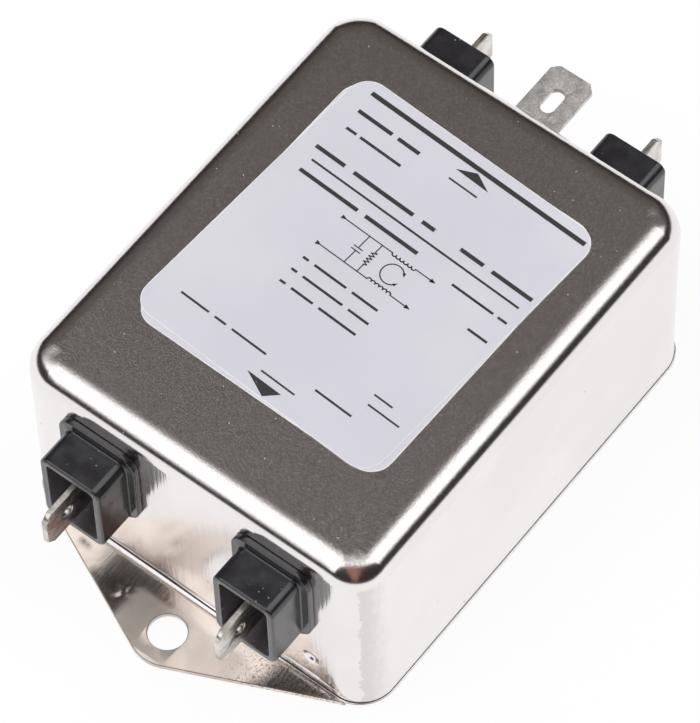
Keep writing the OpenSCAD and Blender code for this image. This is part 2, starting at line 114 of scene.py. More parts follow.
# Terminal housings, with the end wall's plane at zero and -Y outwards
SHROUD_W = 9.0
SHROUD_H = 12.6
SHROUD_L = 6.0
SHROUD_R = 1.3
SHROUD_WALL = 1.0
SHROUD_RIM = 0.32
SHROUD_FILLET = 0.2
CAVITY_R = 0.5
CAVITY_LIP = 0.16
CAVITY_FLOOR = 1.8
EDGE_STEPS = 4
FLANGE_W = 11.5
FLANGE_RISE = 1.4
FLANGE_T = 0.9
FLANGE_R = 2.5
FLANGE_EDGE = 0.18
SPIGOT_INSET = 0.3
SPIGOT_L = 3.8
BLADE_GAP = 0.05

# Blades and ground tab
BLADE_T = blade_high.x - blade_low.x
BLADE_W = 6.35
BLADE_OUT = 11.0
BLADE_CHAMFER = 1.1
BLADE_EDGE = 0.12
DETENT_R = 0.9
DETENT_FROM_TIP = 3.8
TAIL_W = 8.0
TAIL_END = 8.4
TAB_CHAMFER = 0.9
TAB_BEND = 0.6
TAB_EDGE = 0.08
BEND_STEPS = 8
SLOT_W = 2.0
SLOT_L = 3.9
SLOT_FROM_WALL = 6.4
TAB_OUT = 11.2
RIVET_SHANK_R = 1.5
RIVET_HEAD_T = 0.9
RIVET_EDGE = 0.15

# Labels
LABEL_W = 37.2
LABEL_L = 42.6
LABEL_R = 3.0
LABEL_SKEW = 3.2
UNDER_SKEW = 1.2
LABEL_RIM = 0.1
LABEL_EDGE = 0.03
INK_LIFT = 0.012
WORD_BAR = 0.5

# Choke
CORE_MID_R = 14.5
CORE_HALF_W = 3.5
CORE_HALF_H = 7.3
WIRE_D = 1.8
WIRE_GAP = 0.25
LOOPS = 8
LAST_TURN = 270
WINDING_SPAN = 146
CHOKE_SHIFT = 1.5
CHOKE_Z = 11.35
WIRE_SIDES = 14
WIRE_STEP = 10


def smoothstep(low, high, x):
    t = min(1.0, max(0.0, (x - low) / (high - low)))
    return t * t * (3 - 2 * t)


class Graph:
    """Adds nodes to a node tree. A value is a number, a colour or another node's output."""

    def __init__(self, tree):
        self.nodes = tree.nodes
        self.links = tree.links

    def fill(self, sockets, values):
        for socket, value in zip(sockets, values):
            if isinstance(value, bpy.types.NodeSocket):
                self.links.new(value, socket)
            elif isinstance(value, tuple):
                socket.default_value = (*value, 1.0)
            else:
                socket.default_value = value

    def maths(self, operation, *values):
        node = self.nodes.new("ShaderNodeMath")
        node.operation = operation
        self.fill(node.inputs, values)
        return node.outputs["Value"]

    def product(self, *values):
        return reduce(lambda a, b: self.maths("MULTIPLY", a, b), values)

    def total(self, *values):
        return reduce(lambda a, b: self.maths("ADD", a, b), values)

    def distance(self, *offsets):
        """Length of a vector from its parts."""
        return self.maths("SQRT", self.total(*[self.product(value, value) for value in offsets]))

    def gap(self, a, b):
        """How far two values are apart."""
        return self.maths("ABSOLUTE", self.maths("SUBTRACT", a, b))

    def remap(self, value, low, high, out_low=0.0, out_high=1.0):
        """Smooth step from out_low at low to out_high at high."""
        node = self.nodes.new("ShaderNodeMapRange")
        node.interpolation_type = "SMOOTHSTEP"
        bounds = [node.inputs[name] for name in ("Value", "From Min", "From Max", "To Min", "To Max")]
        self.fill(bounds, (value, low, high, out_low, out_high))
        return node.outputs["Result"]

    def blend(self, share, a, b):
        """Colour a where share is 0 and b where it is 1."""
        node = self.nodes.new("ShaderNodeMix")
        node.data_type = "RGBA"
        colours = [s for s in node.inputs if s.type == "RGBA"]
        self.fill([node.inputs["Factor"], *colours], (share, a, b))
        return next(s for s in node.outputs if s.type == "RGBA")

    def split(self, vector):
        node = self.nodes.new("ShaderNodeSeparateXYZ")
        self.links.new(vector, node.inputs["Vector"])
        return node.outputs


class Finish(Graph):
    """Builds one procedural material, with object coordinates in metres."""

    def __init__(self, name, colour, roughness, metallic=0.0):
        self.material = bpy.data.materials.new(name)
        self.material.use_nodes = True
        super().__init__(self.material.node_tree)
        self.shader = self.nodes["Principled BSDF"]
        self.give("Base Color", colour)
        self.give("Roughness", roughness)
        self.give("Metallic", metallic)
        self.coords = self.nodes.new("ShaderNodeTexCoord").outputs["Object"]
        self.height = None

    def give(self, name, value):
        self.fill([self.shader.inputs[name]], [value])

    def paint(self, share, a, b):
        self.give("Base Color", self.blend(share, a, b))

    def place(self, axis):
        return self.split(self.coords)[axis]

    def upward(self):
        """1 where a face looks straight up, 0 on an upright one and -1 underneath."""
        return self.split(self.nodes.new("ShaderNodeNewGeometry").outputs["Normal"])["Z"]

    def texture(self, kind, scale, stretch, turn):
        node = self.nodes.new(kind)
        node.inputs["Scale"].default_value = scale
        vector = self.coords
        if stretch:
            mapping = self.nodes.new("ShaderNodeMapping")
            mapping.inputs["Scale"].default_value = stretch
            mapping.inputs["Rotation"].default_value = (0, 0, math.radians(turn))
            self.links.new(vector, mapping.inputs["Vector"])
            vector = mapping.outputs["Vector"]
        self.links.new(vector, node.inputs["Vector"])
        return node

    def noise(self, scale, detail=2.0, roughness=0.5, stretch=None, turn=0, distortion=0.0):
        """Noise with features about 1 / scale metres across, before any stretch and turn about Z."""
        node = self.texture("ShaderNodeTexNoise", scale, stretch, turn)
        node.inputs["Detail"].default_value = detail
        node.inputs["Roughness"].default_value = roughness
        node.inputs["Distortion"].default_value = distortion
        return node.outputs["Fac"]

    def cells(self, scale, stretch=None):
        """Distance from the nearest of many scattered points about 1 / scale metres apart."""
        return self.texture("ShaderNodeTexVoronoi", scale, stretch, 0).outputs["Distance"]

    def rough(self, pattern, low, high):
        """Roughness that follows a pattern from low to high."""
        self.give("Roughness", self.remap(pattern, 0.3, 0.7, low, high))

    def emboss(self, height, depth_mm):
        """Adds a bump of this depth on top of the bumps given before."""
        node = self.nodes.new("ShaderNodeBump")
        node.inputs["Distance"].default_value = depth_mm * MM
        self.links.new(height, node.inputs["Height"])
        if self.height:
            self.links.new(self.height, node.inputs["Normal"])
        self.height = node.outputs["Normal"]
        self.give("Normal", self.height)


def nickel_can():
    m = Finish("nickel_can", (0.86, 0.82, 0.81), 0.2, 1.0)
    wall = m.remap(m.maths("ABSOLUTE", m.upward()), 0.35, 0.05)
    flat = m.remap(m.upward(), 0.6, 0.95)
    cloud = m.noise(60, 3)
    tint = m.blend(m.remap(cloud, 0.35, 0.7), (0.85, 0.81, 0.805), (0.90, 0.86, 0.86))
    marks = m.remap(m.cells(420, (1, 1, 0.4)), 0.06, 0.03)
    few = m.remap(m.noise(110, 1), 0.5, 0.6)
    tint = m.blend(m.product(marks, few, wall), tint, (0.34, 0.30, 0.27))
    # Painted reflection: the walls turn greyer in a streak up the front right corner
    tint = m.blend(m.product(corner_painted_reflection(m), wall), tint, (0.72, 0.685, 0.68))
    speckle = m.product(m.remap(m.noise(4600, 2, 0.8), 0.62, 0.44), flat)
    m.paint(speckle, tint, (0.78, 0.74, 0.73))
    dust = m.product(m.remap(m.cells(800), 0.08, 0.045), m.remap(m.noise(300, 2), 0.5, 0.58))
    m.give("Metallic", m.remap(dust, 0.0, 1.0, 1.0, 0.25))
    grain = m.noise(3800, 2, 0.8)
    m.rough(grain, 0.13, 0.2)
    m.emboss(m.product(grain, flat), 0.013)
    drawn = m.noise(1900, 3, 0.6, (1, 1, 0.04))
    m.emboss(m.product(drawn, wall), 0.034)
    scratch = m.remap(m.noise(700, 2, 0.5, (0.06, 1, 1), 38), 0.7, 0.76)
    m.emboss(m.product(scratch, few), 0.004)
    return m


def corner_painted_reflection(m):
    """1 in a painted reflection: a darker streak with a ragged edge, up the can's front right corner."""
    rough_edge = m.product(m.noise(900, 4, 0.75, (1, 1, 0.6)), 4 * MM)
    ragged = m.total(rough_edge, m.place("X"), m.place("Y"))
    right_half = m.maths("GREATER_THAN", m.place("X"), 15 * MM)
    sharp_side = m.remap(ragged, -5.1 * MM, -4.8 * MM)
    soft_side = m.remap(ragged, 0.6 * MM, -4.4 * MM)
    return m.product(sharp_side, soft_side, right_half)


def seam_painted_shade():
    # Painted shade: near-black colour on the sheet's recessed foot band, where the gap above the plate is in
    # shadow
    m = Finish("seam_painted_shade", (0.06, 0.045, 0.04), 0.7)
    m.emboss(m.noise(2000, 2), 0.01)
    return m


def nickel_plate():
    m = Finish("nickel_plate", (0.74, 0.67, 0.60), 0.2, 1.0)
    across = m.place("X")
    ends = m.maths("SUBTRACT", m.maths("ABSOLUTE", m.place("Y")), END_Y * MM)
    cloud = m.noise(170, 3, 0.6, distortion=0.5)
    tint = m.blend(m.remap(cloud, 0.3, 0.7), (0.66, 0.59, 0.53), (0.82, 0.74, 0.67))
    pits = m.remap(m.noise(2600, 3, 0.7), 0.5, 0.66)
    tint = m.blend(m.product(pits, m.remap(across, 7 * MM, 12 * MM)), tint, (0.30, 0.25, 0.22))
    upward = m.upward()
    # Painted shade: the plate's rounded top edge is darker where its faces slope
    slope_painted_shade = m.product(m.remap(upward, 0.998, 0.95), m.remap(upward, 0.3, 0.6))
    tint = m.blend(slope_painted_shade, tint, (0.34, 0.28, 0.25))
    wobble = m.product(m.noise(500, 3, 0.6), 0.05 * MM)
    off = m.total(ends, m.product(across, 0.012), wobble)
    bright = m.remap(off, 0.46 * MM, 0.4 * MM)
    m.paint(bright, tint, (0.98, 0.965, 0.96))
    edge = m.total(across, m.product(m.noise(160, 2, distortion=0.8), 4 * MM))
    dull = m.product(m.remap(edge, -6.4 * MM, -3.6 * MM), m.remap(edge, 14 * MM, 10 * MM),
                     m.remap(ends, 1.8 * MM, 3.4 * MM))
    m.give("Metallic", m.remap(dull, 0.0, 1.0, 1.0, 0.45))
    brushed = m.noise(5200, 3, 0.6, (1, 0.08, 1), 4)
    m.rough(brushed, 0.12, 0.2)
    m.emboss(m.noise(3400, 2, 0.8), 0.005)
    m.emboss(brushed, 0.0032)
    m.emboss(cloud, 0.03)
    for x, y in PRESS_MARKS:
        beside = m.distance(m.gap(across, x * MM), m.gap(m.place("Y"), y * MM))
        m.emboss(m.remap(beside, 0.1 * MM, PRESS_MARK_R * MM), 0.13)
    return m


def black_plastic():
    """Black, with painted light making the shrouds' inner faces paler, and a few specks of dust on level
    faces.
    """
    black, inner, pale = (0.0145, 0.0135, 0.018), (0.15, 0.14, 0.155), (0.42, 0.42, 0.44)
    m = Finish("black_plastic", black, 0.34)
    from_middle = m.gap(m.maths("ABSOLUTE", m.place("X")), TERMINAL_X * MM)
    from_level = m.gap(m.place("Z"), TERMINAL_Z * MM)
    cavity = []
    for off, size in ((from_middle, SHROUD_W), (from_level, SHROUD_H)):
        half = size / 2 - SHROUD_WALL
        cavity.append(m.remap(off, (half + 0.3) * MM, (half + 0.1) * MM))
    # Painted light: the cavities' inner faces get a paler colour, as if lit from the opening
    colour = m.blend(m.product(*cavity), black, inner)
    dust = m.remap(m.cells(1500), 0.15, 0.08)
    here = m.remap(m.noise(260, 2), 0.56, 0.66)
    level = m.remap(m.upward(), 0.8, 0.95)
    m.paint(m.product(dust, here, level), colour, pale)
    m.rough(m.noise(500, 3), 0.16, 0.28)
    m.give("Specular IOR Level", 1.0)
    m.emboss(m.noise(2500, 2), 0.006)
    m.emboss(m.noise(160, 2), 0.05)
    return m


def tin_blade():
    m = Finish("tin_blade", (0.66, 0.62, 0.58), 0.3, 1.0)
    cloud = m.remap(m.noise(420, 3, 0.6), 0.35, 0.65)
    m.paint(cloud, (0.50, 0.46, 0.42), (0.78, 0.75, 0.71))
    along = m.noise(2600, 3, 0.65, (1, 0.1, 1))
    m.rough(along, 0.2, 0.42)
    m.emboss(along, 0.014)
    m.emboss(m.noise(3000, 2), 0.01)
    return m


def tin_tab():
    m = Finish("tin_tab", (0.66, 0.64, 0.62), 0.42, 1.0)
    speckle = m.noise(3400, 3, 0.8)
    tint = m.blend(m.remap(speckle, 0.3, 0.7), (0.50, 0.48, 0.46), (0.84, 0.82, 0.80))
    stain = m.remap(m.noise(260, 3, 0.6, distortion=0.6), 0.5, 0.72)
    m.paint(stain, tint, (0.54, 0.51, 0.49))
    m.rough(m.noise(600, 3), 0.34, 0.52)
    m.emboss(speckle, 0.02)
    return m


def nickel_rivet():
    m = Finish("nickel_rivet", (0.72, 0.69, 0.65), 0.28, 1.0)
    m.rough(m.noise(900, 3), 0.2, 0.4)
    m.emboss(m.noise(2200, 3), 0.012)
    return m


def nickel_pan():
    m = Finish("nickel_pan", (0.66, 0.63, 0.60), 0.36, 1.0)
    brushed = m.noise(1800, 3, 0.6, (1, 0.08, 1))
    m.rough(brushed, 0.28, 0.46)
    m.emboss(brushed, 0.015)
    return m


def label_stock():
    m = Finish("label_stock", (0.65, 0.65, 0.71), 0.45)
    cloud = m.remap(m.noise(45, 3), 0.3, 0.7)
    m.paint(cloud, (0.625, 0.625, 0.69), (0.68, 0.675, 0.73))
    m.rough(m.noise(700, 3), 0.38, 0.5)
    m.emboss(m.noise(2600, 3), 0.004)
    m.emboss(m.noise(90, 2), 0.05)
    return m


def label_painted_edge_highlight():
    # Painted highlight: a whiter colour on the label's rounded edge faces
    m = Finish("label_painted_edge_highlight", (0.88, 0.87, 0.88), 0.5)
    m.paint(m.noise(900, 3), (0.80, 0.78, 0.79), (0.95, 0.94, 0.94))
    m.emboss(m.noise(1800, 3), 0.01)
    return m


def label_ink():
    fresh = (0.03, 0.027, 0.03)
    m = Finish("label_ink", fresh, 0.5)
    worn = m.remap(m.noise(1500, 3), 0.66, 0.78)
    m.paint(worn, fresh, (0.22, 0.21, 0.23))
    m.emboss(m.noise(3000, 2), 0.003)
    return m


def core_coating():
    m = Finish("core_coating", (0.03, 0.15, 0.055), 0.4)
    peel = m.noise(420, 2)
    m.paint(peel, (0.025, 0.12, 0.045), (0.04, 0.19, 0.07))
    m.emboss(peel, 0.05)
    return m


def enamelled_copper():
    m = Finish("enamelled_copper", (0.55, 0.17, 0.04), 0.25, 0.85)
    m.paint(m.noise(200, 3), (0.46, 0.13, 0.03), (0.66, 0.23, 0.06))
    m.give("Coat Weight", 0.6)
    m.emboss(m.noise(900, 2), 0.02)
    return m


def board(name, dark, light, fibre_turn):
    """Pressed insulating board, with fibres along one direction."""
    m = Finish(name, dark, 0.7)
    fibres = m.noise(1400, 4, 0.7, (1, 0.15, 1), fibre_turn)
    m.paint(m.remap(fibres, 0.3, 0.7), dark, light)
    m.emboss(fibres, 0.03)
    return m


def capacitor_case():
    m = Finish("capacitor_case", (0.72, 0.50, 0.05), 0.38)
    m.paint(m.noise(300, 3), (0.66, 0.44, 0.04), (0.78, 0.56, 0.07))
    m.emboss(m.noise(1600, 2), 0.012)
    return m


def tinned_lead():
    m = Finish("tinned_lead", (0.75, 0.75, 0.76), 0.3, 1.0)
    m.rough(m.noise(1500, 3), 0.2, 0.42)
    m.emboss(m.noise(2500, 2), 0.01)
    return m


# Place along the resistor's body and colour of each of its bands
BANDS = [
    (-1.4, (0.12, 0.05, 0.02)),
    (-0.5, (0.06, 0.22, 0.05)),
    (0.4, (0.05, 0.20, 0.03)),
    (1.5, (0.6, 0.4, 0.1)),
]


def resistor_body():
    """Tan lacquer with bands of colour round the body, along X."""
    m = Finish("resistor_body", (0.60, 0.43, 0.24), 0.35)
    colour = m.blend(m.noise(500, 3), (0.56, 0.40, 0.22), (0.66, 0.48, 0.28))
    along = m.place("X")
    for place, band in BANDS:
        colour = m.blend(m.remap(m.gap(along, place * MM), 0.32 * MM, 0.28 * MM), colour, band)
    m.give("Base Color", colour)
    m.emboss(m.noise(1800, 2), 0.01)
    return m


def placed(name, data):
    """A new object in the scene."""
    obj = bpy.data.objects.new(name, data)
    bpy.context.scene.collection.objects.link(obj)
    return obj


def piece(name, points, faces, finishes, node=None, kinds=None, smooth=True):
    """A mesh from points in millimetres, riding on the body. kinds picks each face's material."""
    mesh = bpy.data.meshes.new(name)
    mesh.from_pydata([Vector(p) * MM for p in points], [], faces)
    for finish in finishes:
        mesh.materials.append(finish.material)
    for i, polygon in enumerate(mesh.polygons):
        polygon.use_smooth = smooth
        if kinds:
            polygon.material_index = kinds[i]
    shape = bmesh.new()
    shape.from_mesh(mesh)
    bmesh.ops.recalc_face_normals(shape, faces=shape.faces)
    shape.to_mesh(mesh)
    shape.free()
    obj = placed(name, mesh)
    if smooth:
        obj.modifiers.new("even_normals", "WEIGHTED_NORMAL").keep_sharp = True
    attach(obj, "root")
    if node:
        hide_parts(node)
    return obj


def loft(rings, closed=False):
    """Points and faces joining rings of equal length; the ends get a face each unless it is closed."""
    count = len(rings[0])
    points = [p for ring in rings for p in ring]
    faces = []
    for i in range(len(rings) if closed else len(rings) - 1):
        a = i * count
        b = (i + 1) % len(rings) * count
        for k in range(count):
            n = (k + 1) % count
            faces.append((a + k, a + n, b + n, b + k))
    if not closed:
        faces.append(tuple(range(count)))
        faces.append(tuple(range(len(points) - count, len(points))))
    return points, faces


def polar(x, y, r, turn):
    """The point at a distance and a turn, in degrees, from a centre."""
    a = math.radians(turn)
    return (x + r * math.cos(a), y + r * math.sin(a))


def arc(x, y, r, start, end, steps):
    """Points of an arc, both ends included."""
    return [polar(x, y, r, start + (end - start) * i / steps) for i in range(steps + 1)]


def rounded_rect(w, h, r, steps=8):
    """Corner points of a rounded rectangle, counter-clockwise from its right side."""
    points = []
    for x, y, start in ((1, 1, 0), (-1, 1, 90), (-1, -1, 180), (1, -1, 270)):
        points += arc(x * (w / 2 - r), y * (h / 2 - r), r, start, start + 90, steps)
    return points


def circle(x, y, r, steps=48):
    return arc(x, y, r, 0, 360, steps)[:-1]


def inset(loop, distance):
    """A closed loop moved to its left side by a distance, with mitred corners."""
    moved = []
    for i, point in enumerate(loop):
        here = Vector(point)
        before = (here - Vector(loop[i - 1])).normalized()
        after = (Vector(loop[(i + 1) % len(loop)]) - here).normalized()
        left = Vector((-before.y - after.y, before.x + after.x))
        cosine = left.length / 2
        moved.append(here + left.normalized() * distance / max(cosine, 0.3))
    return moved


def slab(loops, thickness, edge, edge_in=None, steps=3):
    """Flat sheet with rounded edges. The first loop runs counter-clockwise, and holes clockwise."""
    edge_in = edge if edge_in is None else edge_in
    profile = []
    for i in range(steps + 1):
        a = math.radians(90 * i / steps)
        profile.append((edge_in * (1 - math.sin(a)), edge * (1 - math.cos(a))))
    profile += [(d, thickness - z) for d, z in reversed(profile)]
    points, faces, kinds, low_loops, high_loops = [], [], [], [], []
    for loop in loops:
        start = len(points)
        for d, z in profile:
            points += [(p[0], p[1], z) for p in inset(loop, d)]
        count = len(loop)
        for i in range(len(profile) - 1):
            for k in range(count):
                a = start + i * count + k
                b = start + i * count + (k + 1) % count
                faces.append((a, b, b + count, a + count))
                kinds.append(1)
        low_loops.append(list(range(start, start + count)))
        last = start + (len(profile) - 1) * count
        high_loops.append(list(range(last, last + count)))
    for side in (low_loops, high_loops):
        flat = [i for loop in side for i in loop]
        for triangle in geometry.tessellate_polygon([[Vector(points[i]) for i in loop] for loop in side]):
            faces.append(tuple(flat[i] for i in triangle))
            kinds.append(0)
    return points, faces, kinds


def even_steps(marks, step):
    """The marks, with more values between them so that none is further apart than a step."""
    marks = sorted(set(round(v, 4) for v in marks))
    values = [marks[0]]
    for a, b in zip(marks, marks[1:]):
        count = max(1, math.ceil((b - a) / step))
        values += [a + (b - a) * i / count for i in range(1, count + 1)]
    return values


def can_stations():
    """Outline points of the can with their outward directions, counter-clockwise from the front right."""
    end_marks = [-SIDE_X + CORNER_R, SIDE_X - CORNER_R, -RIVET_HOLE_HALF, RIVET_HOLE_HALF]
    for side in (-1, 1):
        end_marks += [side * DIMPLE_X + d for d in AROUND_DIMPLE]
        end_marks += [side * (TERMINAL_X + d) for d in (-WINDOW_HALF_X, WINDOW_HALF_X)]
    xs = even_steps(end_marks, END_STEP)[1:-1]
    ys = even_steps([-END_Y + CORNER_R, END_Y - CORNER_R], SIDE_STEP)[1:-1]
    corners = ((1, -1, 270), (1, 1, 0), (-1, 1, 90), (-1, -1, 180))
    straights = (
        [((SIDE_X, y), (1, 0)) for y in ys],
        [((x, END_Y), (0, 1)) for x in reversed(xs)],
        [((-SIDE_X, y), (-1, 0)) for y in reversed(ys)],
        [((x, -END_Y), (0, -1)) for x in xs],
    )
    stations = []
    for (sx, sy, start), straight in zip(corners, straights):
        centre = Vector((sx * (SIDE_X - CORNER_R), sy * (END_Y - CORNER_R)))
        for i in range(CORNER_STEPS + 1):
            out = Vector(polar(0, 0, 1, start + 90 * i / CORNER_STEPS))
            stations.append((centre + CORNER_R * out, out))
        stations += [(Vector(p), Vector(out)) for p, out in straight]
    return stations


def can_levels():
    seam = CAN_FOOT + SEAM_H
    marks = [CAN_FOOT, seam, seam + 0.02, seam + 0.15, TOP_START_Z]
    marks += [CREASE_Z + d for d in AROUND_CREASE]
    marks += [DIMPLE_Z + d for d in AROUND_DIMPLE]
    marks += [TERMINAL_Z - WINDOW_HALF_Z, TERMINAL_Z + WINDOW_HALF_Z]
    marks += [RIVET_Z - RIVET_HOLE_HALF, RIVET_Z + RIVET_HOLE_HALF]
    return even_steps(marks, END_STEP)


def on_end(out):
    """Whether an outward direction belongs to an end wall."""
    return abs(out.y) > 0.99


def wall_inset(point, out, z):
    """How far the drawn sheet lies inside the can's true outline here."""
    depth = SEAM_DEPTH * (z < CAN_FOOT + SEAM_H + 0.01)
    flare = max(0.0, 1 - (z - CAN_FOOT) / FLARE_H)
    depth -= FOOT_FLARE * flare ** 2 * abs(out.x)
    if on_end(out):
        away = max(0.0, abs(point.x) - CREASE_HALF_LENGTH)
        held = math.exp(-(away ** 2))
        depth += CREASE_DEPTH * math.exp(-(((z - CREASE_Z) / CREASE_WIDTH) ** 2)) * held
        below = max(0.0, (CREASE_Z - z) / (CREASE_Z - CAN_FOOT))
        depth += (FOOT_TUCK + FOOT_SKEW * point.x * out.y) * below * held
        rho = math.hypot(abs(point.x) - DIMPLE_X, z - DIMPLE_Z)
        if rho < DIMPLE_R:
            depth += DIMPLE_DEPTH * (1 - (rho / DIMPLE_R) ** 2)
    rise = smoothstep(CAN_FOOT, WAVES_FULL_FROM, z) * smoothstep(TOP_START_Z - 0.5, WAVES_FULL_TO, z)
    along = point.x * abs(out.y) + point.y * abs(out.x)
    ripple = sum(size * math.sin(along * a + z * b + c) for size, a, b, c in WAVES)
    return depth + WAVE * rise * (1 + ripple)


def edge_profile(count=24, fine=20):
    """Inset and drop of the rounded top edge for a radius of one: an arc that eases out into the top."""
    tail = 2 * TOP_TAIL
    bend = math.pi / 2 - TOP_TAIL
    step = (bend + tail) / (count * fine)
    d = drop = 0.0
    profile = [(0.0, 0.0)]
    for i in range(count * fine):
        s = step * (i + 0.5)
        turn = math.pi / 2 - s if s < bend else TOP_TAIL * (1 - (s - bend) / tail) ** 2
        d += math.cos(turn) * step
        drop += math.sin(turn) * step
        if (i + 1) % fine == 0:
            profile.append((d, drop))
    return [(d, drop - z) for d, z in profile]


def can_rings(stations, levels):
    """The sheet's outer rings and its inner rings, from the foot up to the edge of the top."""
    profile = edge_profile()

    def edge_ring(inwards, drop, sheet):
        points = []
        for p, out in stations:
            r = TOP_R + (TOP_CORNER_R - TOP_R) * abs(2 * out.x * out.y) - sheet
            points.append((*(p - (sheet + r * inwards) * out), CAN_TOP - sheet - r * drop))
        return points

    outer = [[(*(p - wall_inset(p, out, z) * out), z) for p, out in stations] for z in levels]
    outer += [edge_ring(*step, 0) for step in profile]
    inner = [[(*(p - (CAN_WALL + SEAM_DEPTH) * out), z) for p, out in stations] for z in levels]
    inner += [edge_ring(*step, CAN_WALL) for step in profile]
    return outer, inner


def can_openings():
    """Centre, half sizes and ends of the end walls' openings for the housings and the rivet."""
    openings = []
    for side in (-1, 1):
        openings.append((side * TERMINAL_X, TERMINAL_Z, WINDOW_HALF_X, WINDOW_HALF_Z, (-1, 1)))
    openings.append((0, RIVET_Z, RIVET_HOLE_HALF, RIVET_HOLE_HALF, (1,)))
    return openings


def can_mesh():
    """Points, faces and each face's material: the sheet outside and inside, open at the foot."""
    stations = can_stations()
    levels = can_levels()
    outer, inner = can_rings(stations, levels)
    openings = can_openings()
    count = len(stations)
    shift = len(outer) * count

    def opened(k, i):
        (p, out), (q, out_next) = stations[k], stations[(k + 1) % count]
        if not on_end(out) or not on_end(out_next) or i >= len(levels) - 1:
            return False
        x = (p.x + q.x) / 2
        z = (levels[i] + levels[i + 1]) / 2
        end = 1 if out.y > 0 else -1
        return any(abs(x - wx) < hx and abs(z - wz) < hz and end in ends for wx, wz, hx, hz, ends in openings)

    faces = []
    kinds = []
    for i in range(len(outer) - 1):
        for k in range(count):
            n = (k + 1) % count
            a, b, c, d = i * count + k, i * count + n, (i + 1) * count + n, (i + 1) * count + k
            if not opened(k, i):
                faces.append((a, b, c, d))
                faces.append((a + shift, d + shift, c + shift, b + shift))
                # The two lowest bands of the outer sheet take the painted shade of the foot gap
                kinds += [int(i < 2), 0]
                continue
            edges = (((a, b), (k, i - 1)), ((b, c), (n, i)), ((c, d), (k, i + 1)), ((d, a), (k - 1, i)))
            for (p, q), beside in edges:
                if not opened(beside[0] % count, beside[1]):
                    faces.append((p, q, q + shift, p + shift))
                    kinds.append(0)
    for k in range(count):
        n = (k + 1) % count
        faces.append((k, k + shift, n + shift, n))
        # The sheet's bottom edge takes the painted shade of the foot gap too
        kinds.append(1)
    top = shift - count
    faces.append(tuple(range(top, top + count)))
    faces.append(tuple(range(top + shift, top + shift + count)))
    return [p for r in outer + inner for p in r], faces, kinds + [0, 0]


def make_can(finish, seam):
    points, faces, kinds = can_mesh()
    # seam is the painted shade for the foot band and the bottom edge
    piece("can", points, faces, [finish, seam], "case", kinds)


def plate_outline():
    """Mounting plate's outline: corner circles and ear tips joined by their tangents."""
    lip_r = PLATE_CORNER_R
    centre = Vector((SIDE_X, END_Y)) + Vector((1, 1)) * (PLATE_LIP - lip_r)
    ear_y = plate_high.y - EAR_R
    way = centre - Vector((0, ear_y))
    turn = math.degrees(math.atan2(way.y, way.x) + math.acos((EAR_R - lip_r) / way.length))
    quarter = arc(*centre, lip_r, 0, turn, EAR_STEPS) + arc(0, ear_y, EAR_R, turn, 90, EAR_STEPS)
    half = quarter + [(-x, y) for x, y in reversed(quarter[:-1])]
    return half + [(-x, -y) for x, y in half]


def make_plate(finish):
    holes = [list(reversed(circle(0, end * HOLE_Y, HOLE_R))) for end in (-1, 1)]
    points, faces, _ = slab([plate_outline(), *holes], plate_high.z, PLATE_EDGE)
    piece("plate", points, faces, [finish], "mounting_plate")


def housing_ring(y, w, h, r, rise=0.0):
    return [(x, y, z + rise) for x, z in rounded_rect(w, h, r)]


def rounded(y0, y1, w, h, r, edge, rise=0.0):
    """Rings of a quarter-round edge from depth y0, drawn in by the edge, to y1 at full size."""
    rings = []
    for i in range(EDGE_STEPS + 1):
        a = math.radians(90 * i / EDGE_STEPS)
        d = edge * (1 - math.sin(a))
        y = y0 + (y1 - y0) * (1 - math.cos(a))
        rings.append(housing_ring(y, w - 2 * d, h - 2 * d, max(r - d, 0.05), rise))
    return rings


def housing_mesh():
    """One closed surface: flange, shroud, rim, cavity, the blade's slot and the spigot behind the wall."""
    flange = (FLANGE_W, SHROUD_H + FLANGE_RISE, FLANGE_R, FLANGE_EDGE, FLANGE_RISE / 2)
    shroud = (SHROUD_W, SHROUD_H, SHROUD_R)
    fillet = [size + 2 * SHROUD_FILLET for size in shroud[:2]]
    cavity = [size - 2 * SHROUD_WALL for size in shroud[:2]]
    spigot = [size - 2 * SPIGOT_INSET for size in shroud[:2]]
    slot = (BLADE_T + 2 * BLADE_GAP, BLADE_W + 2 * BLADE_GAP, 0.05)
    rings = rounded(0, -FLANGE_EDGE, *flange)
    rings += reversed(rounded(-FLANGE_T, -FLANGE_T + FLANGE_EDGE, *flange))
    rings.append(housing_ring(-FLANGE_T, *fillet, SHROUD_R + SHROUD_FILLET))
    rings.append(housing_ring(-FLANGE_T - 0.06, SHROUD_W + 0.2, SHROUD_H + 0.2, SHROUD_R))
    rings.append(housing_ring(-FLANGE_T - SHROUD_FILLET, *shroud))
    rings += reversed(rounded(-SHROUD_L, SHROUD_RIM - SHROUD_L, *shroud, SHROUD_RIM))
    rings += rounded(-SHROUD_L, CAVITY_LIP - SHROUD_L, *cavity, CAVITY_R, -CAVITY_LIP)
    rings.append(housing_ring(CAVITY_FLOOR - 0.3, *cavity, CAVITY_R))
    rings.append(housing_ring(CAVITY_FLOOR, *[size - 0.5 for size in cavity], CAVITY_R))
    rings.append(housing_ring(CAVITY_FLOOR, *slot))
    rings.append(housing_ring(SPIGOT_L, *slot))
    rings.append(housing_ring(SPIGOT_L, *spigot, SHROUD_R - SPIGOT_INSET))
    rings.append(housing_ring(0, *spigot, SHROUD_R - SPIGOT_INSET))
    return loft(rings, closed=True)


def at_end(points, end, side):
    """Moves points drawn for the load end's wall plane to a terminal of either end."""
    return [(side * TERMINAL_X - end * x, end * (END_Y - y), TERMINAL_Z + z) for x, y, z in points]


ENDS = {"load": -1, "line": 1}
SIDES = {"left": -1, "right": 1}


